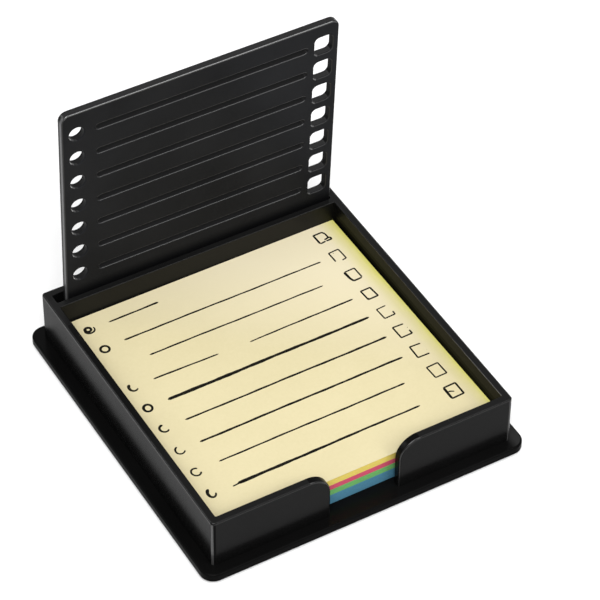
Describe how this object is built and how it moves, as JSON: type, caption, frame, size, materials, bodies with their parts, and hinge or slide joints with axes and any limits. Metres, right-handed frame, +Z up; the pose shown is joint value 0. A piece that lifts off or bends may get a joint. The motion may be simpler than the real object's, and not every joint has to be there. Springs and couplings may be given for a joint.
{
  "type": "memo pad holder",
  "caption": "Square moulded desk tray for a stack of sticky notes, with a finger notch at the front and a loose line-and-checkbox stencil plate standing in a rear pocket.",
  "frame": {"origin": "centre of the base in plan, on the surface the holder stands on", "axes": "+X to the right, +Y to the back where the stencil stands, +Z up"},
  "size_m": [0.0866, 0.0922, 0.0766],
  "materials": {
    "tray_plastic": "satin black injection-moulded plastic",
    "stencil_plastic": "fine satin black plastic",
    "cream_paper": "uncoated pale yellow note paper with black pen lines",
    "yellow_paper": "uncoated note paper, cut edges",
    "pink_paper": "uncoated note paper, cut edges",
    "green_paper": "uncoated note paper, cut edges",
    "blue_paper": "uncoated note paper, cut edges",
    "foot_rubber": "soft dark anti-slip pad"
  },
  "bodies": {
    "tray": {"tray": "tray_plastic", "anti_slip_feet": "foot_rubber"},
    "stencil": {"stencil_plate": "stencil_plastic"},
    "pad": {"blue_notes": "blue_paper", "green_notes": "green_paper", "pink_notes": "pink_paper", "yellow_notes": "yellow_paper"},
    "peeled_note": {"top_note": "cream_paper"}
  },
  "joints": [
    {"name": "stencil_lift", "type": "slide", "parent": "tray", "child": "stencil", "axis": [0, -0.0532, 0.9986], "range_m": [0, 0.02]},
    {"name": "pad_lift", "type": "slide", "parent": "tray", "child": "pad", "axis": [0, 0, 1], "range_m": [0, 0.018]},
    {"name": "top_note_peel", "type": "hinge", "parent": "pad", "child": "peeled_note", "pos_m": [-0.0002, 0.03622, 0.01083], "axis": [-1, -0.0052, 0], "range_deg": [0, 70]}
  ]
}
